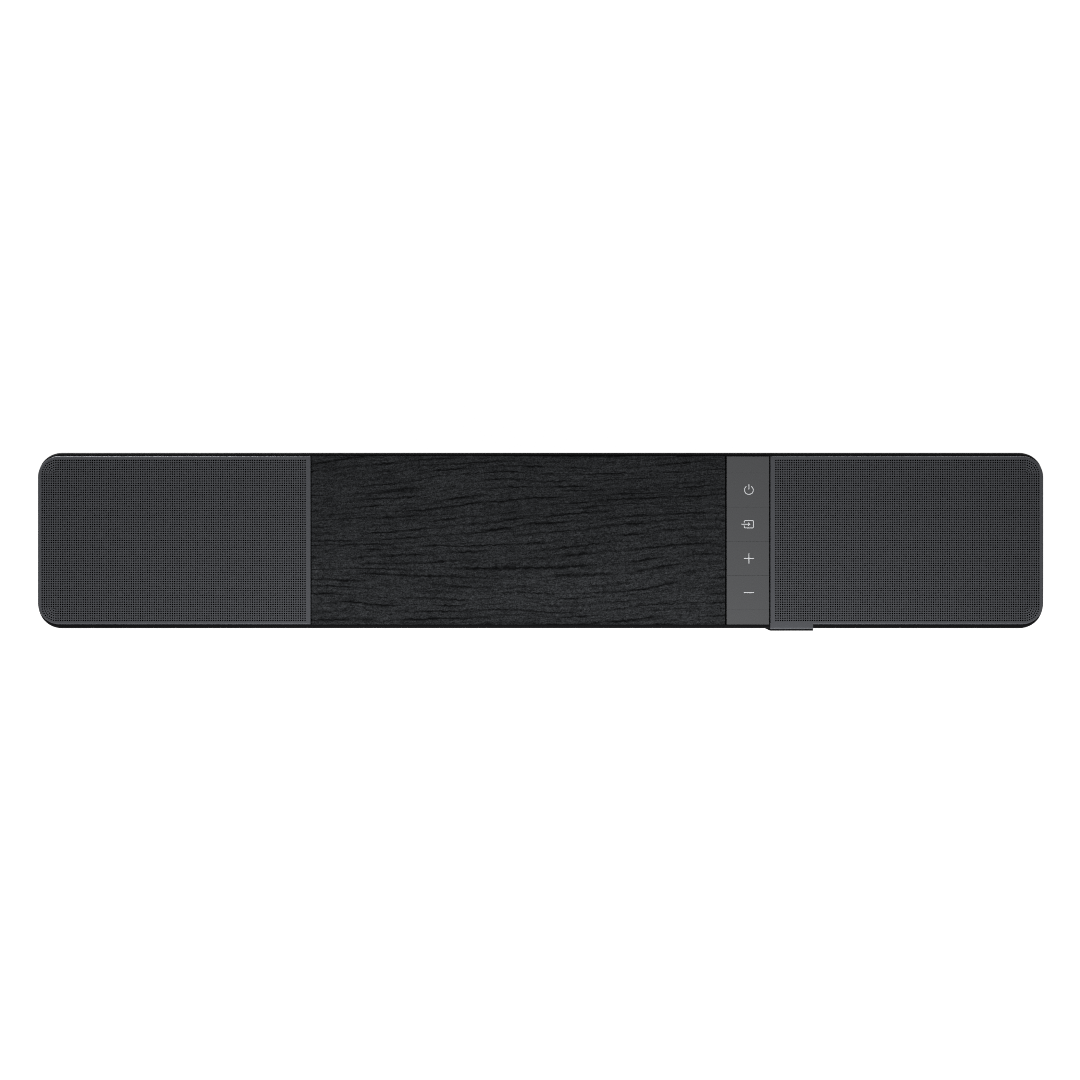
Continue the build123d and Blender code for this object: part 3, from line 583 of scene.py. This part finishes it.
FRONT_PITCH = 2.05 * MM
FRONT_HOLE = 0.62 * MM
FRONT_RADIUS = 7.8 * MM
FRONT_EDGE = 3.6 * MM
FRONT_REACH = 3
front_low, front_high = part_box("front_grille")
front_sheet = perforated_sheet(
    (front_high.x - front_low.x) / 2,
    (front_high.z - front_low.z) / 2,
    (FRONT_RADIUS,) * 4,
    (FRONT_EDGE,) * 4,
    FRONT_PITCH,
    FRONT_HOLE,
    [(1, 1), (1, -1), (-1, 1), (-1, -1)],
    FRONT_REACH,
    front_high.y - front_low.y,
)
sheet_pieces(
    "front_grille",
    2,
    front_sheet,
    onto_front(0.0, front_low.y, (front_low.z + front_high.z) / 2),
    materials["panel_metal"],
    "front_grille",
)

# ---------------------------------------------------------------- swept bars and symbols


def swept_bar(section, start, end, along):
    """Points and faces of a closed section swept straight along X or Y, with flat ends.

    The section's points are (other horizontal axis, z), anticlockwise seen from the start.
    """
    count = len(section)
    points = []
    for place in (start, end):
        points += [(place, a, z) if along == "X" else (a, place, z) for a, z in section]
    sides = [(k, (k + 1) % count, (k + 1) % count + count, k + count) for k in range(count)]
    return points, [tuple(reversed(range(count))), tuple(range(count, 2 * count)), *sides]


def outward(mesh):
    """Turns every face of a closed mesh outward."""
    work = bmesh.new()
    work.from_mesh(mesh)
    bmesh.ops.recalc_face_normals(work, faces=work.faces)
    work.to_mesh(mesh)
    work.free()


def joined_mesh(name, solids, smooth_angle=30.0):
    """One mesh from several closed solids, smooth except at edges sharper than the angle."""
    points, faces = [], []
    for own_points, own_faces in solids:
        start = len(points)
        points += own_points
        faces += [tuple(number + start for number in face) for face in own_faces]
    mesh = new_mesh(name, points, faces, [True] * len(faces))
    outward(mesh)
    mesh.set_sharp_from_angle(angle=radians(smooth_angle))
    return mesh


def capped_section(low, high, bottom, top, radius, steps=5):
    """A rectangle whose two upper corners are rounded."""
    right = [
        (high - radius + radius * sin(angle), top - radius + radius * cos(angle))
        for angle in np.linspace(pi / 2, 0, steps + 1)
    ]
    left = [
        (low + radius - radius * sin(angle), top - radius + radius * cos(angle))
        for angle in np.linspace(0, pi / 2, steps + 1)
    ]
    return [(low, bottom), (high, bottom), *right, *left]


def box_solid(low, high):
    """A plain block for the hidden parts of a piece."""
    section = [(low[0], low[2]), (high[0], low[2]), (high[0], high[2]), (low[0], high[2])]
    return swept_bar(section, low[1], high[1], "Y")


def round_bar(centre, radius, bottom, top, sides=32):
    """An upright cylinder with a small chamfer at its foot."""
    chamfer = 0.15 * radius
    levels = [(bottom, radius - chamfer), (bottom + chamfer, radius), (top, radius)]
    points = [
        (
            centre[0] + ring * cos(2 * pi * k / sides),
            centre[1] + ring * sin(2 * pi * k / sides),
            z,
        )
        for z, ring in levels
        for k in range(sides)
    ]
    faces = [tuple(reversed(range(sides))), tuple(range(2 * sides, 3 * sides))]
    for level in range(2):
        for k in range(sides):
            after = (k + 1) % sides
            faces.append(
                (
                    level * sides + k,
                    level * sides + after,
                    (level + 1) * sides + after,
                    (level + 1) * sides + k,
                )
            )
    return points, faces


def ribbon(path, width, bottom, top):
    """A flat printed line of even width along an open path of (x, y) points."""
    path = np.array(path, float)
    steps = np.diff(path, axis=0)
    steps = steps / np.linalg.norm(steps, axis=1)[:, None]
    count = len(path)
    left, right = [], []
    for k in range(count):
        into = steps[max(k - 1, 0)]
        out = steps[min(k, count - 2)]
        normal = np.array([-(into + out)[1], (into + out)[0]])
        normal = normal / np.linalg.norm(normal)
        mitre = width / 2 / max(0.5, float(normal @ np.array([-into[1], into[0]])))
        left.append(path[k] + normal * mitre)
        right.append(path[k] - normal * mitre)
    points = [(*p, z) for z in (bottom, top) for p in (*left, *right)]
    lift = 2 * count
    faces = [(k, k + count, k + count + lift, k + lift) for k in (0, count - 1)]
    for a in range(count - 1):
        b = a + 1
        c, d = a + count, b + count
        faces += [(a, b, d, c), (c + lift, d + lift, b + lift, a + lift)]
        faces += [(a + lift, b + lift, b, a), (c, d, d + lift, c + lift)]
    return points, faces


def arc_path(centre, radius, start, end, steps=48):
    """Points along a round arc, angles in degrees."""
    return [
        (centre[0] + radius * cos(radians(a)), centre[1] + radius * sin(radians(a)))
        for a in np.linspace(start, end, steps + 1)
    ]


# ---------------------------------------------------------------- wood panel

wood_low, wood_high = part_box("wood_veneer")
VENEER_EDGE = 0.25 * MM
wood_section = capped_section(wood_low.y, wood_high.y, wood_low.z, wood_high.z, VENEER_EDGE, 3)
wood_mesh = joined_mesh("wood_panel", [swept_bar(wood_section, wood_low.x, wood_high.x, "X")])
wood_panel = new_object("wood_panel", wood_mesh, materials["wood_veneer"])
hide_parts("wood_veneer")

# ---------------------------------------------------------------- control strip and keys

strip_low, strip_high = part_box("control_strip")
INK = 0.02 * MM
strip_top = strip_high.z - INK
STRIP_EDGE = 0.45 * MM
STRIP_FLOOR = 1.2 * MM
key_names = ["power_key", "source_key", "volume_up_key", "volume_down_key"]
key_boxes = {name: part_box(name) for name in key_names}
key_x = (strip_low.x + strip_high.x) / 2
KEY_SEAM = 0.05 * MM
blank_rear_y = key_boxes["power_key"][1].y + KEY_SEAM
blank_front_y = key_boxes["volume_down_key"][0].y - KEY_SEAM
strip_section = capped_section(strip_low.x, strip_high.x, strip_low.z, strip_top, STRIP_EDGE)
strip_mesh = joined_mesh(
    "control_strip",
    [
        swept_bar(strip_section, strip_low.y, blank_front_y, "Y"),
        swept_bar(strip_section, blank_rear_y, strip_high.y, "Y"),
        box_solid(
            (strip_low.x, blank_front_y, strip_low.z),
            (strip_high.x, blank_rear_y, strip_low.z + STRIP_FLOOR),
        ),
    ],
)
strip_body = new_object("control_strip_body", strip_mesh, strip_paint)
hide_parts("control_strip")

PLUNGER = 2.5 * MM
KEY_THICKNESS = 1.8 * MM
for name in key_names:
    low, high = key_boxes[name]
    section = capped_section(low.x, high.x, high.z - KEY_THICKNESS, strip_top, STRIP_EDGE)
    middle_y = (low.y + high.y) / 2
    cap_mesh = joined_mesh(
        f"{name}_cap",
        [
            swept_bar(section, low.y, high.y, "Y"),
            round_bar((key_x, middle_y), PLUNGER, low.z, high.z - KEY_THICKNESS),
        ],
    )
    cap = new_object(f"{name}_cap", cap_mesh, strip_paint, name)
    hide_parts(name)

LINE = 0.55 * MM
BAR = 3.6 * MM
SYMBOL_SHIFT = 0.7 * MM


def power_symbol(x, y):
    """A ring with a gap at its top and an upright bar in the gap."""
    half_gap = 35
    ring = arc_path((x, y), 3.1 * MM, 90 + half_gap, 450 - half_gap)
    bar = [(x, y + 0.3 * MM), (x, y + 4.0 * MM)]
    return [ring, bar]


def source_symbol(x, y):
    """A rounded frame, open on its left, with an arrow going in."""
    right, left = x + 3.2 * MM, x - 3.3 * MM
    top, bottom = y + 2.6 * MM, y - 2.6 * MM
    corner = 0.8 * MM
    mouth = 0.9 * MM
    outline = [(left, y + mouth)]
    outline += arc_path((left + corner, top - corner), corner, 180, 90, 6)
    outline += arc_path((right - corner, top - corner), corner, 90, 0, 6)
    outline += arc_path((right - corner, bottom + corner), corner, 0, -90, 6)
    outline += arc_path((left + corner, bottom + corner), corner, -90, -180, 6)
    outline.append((left, y - mouth))
    tip = x + 0.6 * MM
    barb = 1.1 * MM
    shaft = [(left - 1.9 * MM, y), (tip - LINE, y)]
    head = [(tip - barb, y + barb), (tip, y), (tip - barb, y - barb)]
    return [outline, shaft, head]


def minus_symbol(x, y):
    """One bar."""
    return [[(x - BAR, y), (x + BAR, y)]]


def plus_symbol(x, y):
    """Two crossed bars, the upright one in two halves so that nothing overlaps."""
    half = LINE / 2
    upper = [(x, y + half), (x, y + BAR)]
    lower = [(x, y - half), (x, y - BAR)]
    return [*minus_symbol(x, y), upper, lower]


symbols = {
    "power_key": power_symbol,
    "source_key": source_symbol,
    "volume_up_key": plus_symbol,
    "volume_down_key": minus_symbol,
}
for name, draw in symbols.items():
    low, high = key_boxes[name]
    middle_y = (low.y + high.y) / 2
    paths = draw(key_x + SYMBOL_SHIFT, middle_y)
    solids = [ribbon(path, LINE, strip_top, strip_high.z) for path in paths]
    symbol = new_object(f"{name}_symbol", joined_mesh(f"{name}_symbol", solids), symbol_ink, name)

# ---------------------------------------------------------------- blank tab on the right grille

TAB_LEFT = right_low.x
TAB_WIDTH = 30.3 * MM
tab_front = right_low.y
tab_bottom = right_low.z
tab_back = left_low.y + BEND
outer_bend = [
    (tab_front + BEND - BEND * sin(angle), top_z - BEND + BEND * cos(angle))
    for angle in np.linspace(0, pi / 2, 7)
]
inner_bend = [
    (tab_front + BEND - INNER_BEND * sin(angle), top_z - BEND + INNER_BEND * cos(angle))
    for angle in np.linspace(pi / 2, 0, 4)
]
tab_section = [(tab_back, top_z), *outer_bend, (tab_front, tab_bottom)]
tab_section += [(tab_front + SHEET, tab_bottom), *inner_bend, (tab_back, top_z - SHEET)]
tab_bar = swept_bar(tab_section, TAB_LEFT, TAB_LEFT + TAB_WIDTH, "X")
tab_mesh = joined_mesh("right_grille_tab", [tab_bar])
tab = new_object("right_grille_tab", tab_mesh, materials["panel_metal"])
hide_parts("right_top_grille")

# ---------------------------------------------------------------- soft parts that flex


def flexing(node, moving, share):
    """A soft node whose points follow the case where share is 0 and a moving body where it is 1."""
    mesh = frame["nodes"][node].data.copy()
    piece = bpy.data.objects.new(f"{node}_soft", mesh)
    bpy.context.scene.collection.objects.link(piece)
    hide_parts(node)
    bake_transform(piece, "soundbar", moving, *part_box(node))
    shares = [share(vertex.co) for vertex in mesh.vertices]
    mesh.attributes["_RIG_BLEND"].data.foreach_set("value", shares)


def smooth_step(value, low, high):
    """0 at low, 1 at high and a smooth turn between; low may be the larger."""
    place = min(max((value - low) / (high - low), 0.0), 1.0)
    return place * place * (3 - 2 * place)


def flexing_ring(node, moving, across, inner, outer):
    """A ring held by the case at its outer radius and by a cone at its inner one."""
    low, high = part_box(node)
    middle = (low + high) / 2

    def share(point):
        radius = Vector(point[axis] - middle[axis] for axis in across).length
        return smooth_step(radius, outer, inner)

    flexing(node, moving, share)


XY = (0, 1)
XZ = (0, 2)
# Where each ring lets go of the cone, and where the case holds it
WOOFER_SURROUND = (38.0 * MM, 43.5 * MM)
WOOFER_SPIDER = (12.5 * MM, 33.5 * MM)
FRONT_SURROUND = (18.4 * MM, 22.0 * MM)
for hand in ("left", "right"):
    woofer, front_speaker = f"{hand}_woofer", f"{hand}_front_speaker"
    flexing_ring(f"{woofer}_surround", f"{woofer}_cone", XY, *WOOFER_SURROUND)
    flexing_ring(f"{woofer}_spider", f"{woofer}_cone", XY, *WOOFER_SPIDER)
    flexing_ring(f"{front_speaker}_surround", f"{front_speaker}_cone", XZ, *FRONT_SURROUND)

for name in key_names:
    pad_low, pad_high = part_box(f"{name}_pad")
    flexing(f"{name}_pad", name, lambda point: smooth_step(point.z, pad_low.z, pad_high.z))

# ---------------------------------------------------------------- floor, lights and camera

# The floor lies a hair below the feet and reaches past every view
FLOOR_REACH = 9.0
FLOOR_Z = -0.05 * MM
floor_corners = [
    (-FLOOR_REACH, -FLOOR_REACH, FLOOR_Z),
    (FLOOR_REACH, -FLOOR_REACH, FLOOR_Z),
    (FLOOR_REACH, FLOOR_REACH, FLOOR_Z),
    (-FLOOR_REACH, FLOOR_REACH, FLOOR_Z),
]
floor_mesh = new_mesh("floor", floor_corners, [(0, 1, 2, 3)], [False])
floor_mesh.materials.append(white_floor())
floor = bpy.data.objects.new("floor", floor_mesh)
bpy.context.scene.collection.objects.link(floor)


def soft_light(name, place, target, size, power, spread=180):
    """A rectangular softbox aimed at a point; spread is the angle of its beam in degrees."""
    data = bpy.data.lights.new(name, "AREA")
    data.shape = "RECTANGLE"
    data.size, data.size_y = size
    data.energy = power
    data.spread = radians(spread)
    lamp = bpy.data.objects.new(name, data)
    bpy.context.scene.collection.objects.link(lamp)
    lamp.location = place
    lamp.rotation_euler = (Vector(target) - Vector(place)).to_track_quat("-Z", "Y").to_euler()
    return lamp


# The front light only fills: the front bends of the grilles carry no highlight
FRONT_SIZE = (0.70, 0.40)
FRONT_POWER = 9.25
front_light = soft_light(
    "front_light", (0.02, -0.45, 0.50), (0.0, 0.0, 0.078), FRONT_SIZE, FRONT_POWER
)
front_light.visible_glossy = False

# Narrow beams from low behind draw the highlights along the rear bends, mostly on the left
REAR_SIZE = (0.40, 0.14)
REAR_BEAM = 50
rear_lights = {
    "rear_left_light": ((-0.44, 0.75, 0.16), (-0.33, 0.06, 0.078), 0.72),
    "rear_right_light": ((0.38, 0.75, 0.16), (0.27, 0.06, 0.078), 0.25),
}
for name, (place, target, power) in rear_lights.items():
    soft_light(name, place, target, REAR_SIZE, power, REAR_BEAM)

# A dim sky over a bright band along the horizon; heights are the sine of the angle above it
BAND_TOP = 0.08
SKY_START = 0.16
BAND_STRENGTH = 1.0
SKY_STRENGTH = 0.10
world = bpy.data.worlds.new("studio")
world.use_nodes = True
sky = world.node_tree
direction = sky.nodes.new("ShaderNodeTexCoord").outputs["Generated"]
split = sky.nodes.new("ShaderNodeSeparateXYZ")
fade = sky.nodes.new("ShaderNodeMapRange")
for socket, number in zip(fade.inputs[1:5], (BAND_TOP, SKY_START, BAND_STRENGTH, SKY_STRENGTH)):
    socket.default_value = number
sky.links.new(direction, split.inputs["Vector"])
sky.links.new(split.outputs["Z"], fade.inputs["Value"])
sky.links.new(fade.outputs["Result"], sky.nodes["Background"].inputs["Strength"])
sky.nodes["Background"].inputs["Color"].default_value = (1.0, 1.0, 1.0, 1.0)
bpy.context.scene.world = world
bpy.context.scene.view_settings.view_transform = "Standard"

# A long lens straight above the bar, a hair off its middle
FRAME_WIDTH = 0.7639
CAMERA_HEIGHT = 6.0
SENSOR = 36.0
CAMERA_X = -0.42 * MM
CAMERA_Y = 1.24 * MM
camera_data = bpy.data.cameras.new("camera")
camera_data.sensor_width = SENSOR
camera_data.lens = SENSOR * CAMERA_HEIGHT / FRAME_WIDTH
camera_data.clip_end = 100.0
camera = bpy.data.objects.new("camera", camera_data)
bpy.context.scene.collection.objects.link(camera)
camera.location = (CAMERA_X, CAMERA_Y, top_z + CAMERA_HEIGHT)
bpy.context.scene.camera = camera

# The holes of the grilles are only two picture elements apart, and a denoiser wipes them out
bpy.context.scene.cycles.use_denoising = False
bpy.context.scene.cycles.filter_width = 1.0
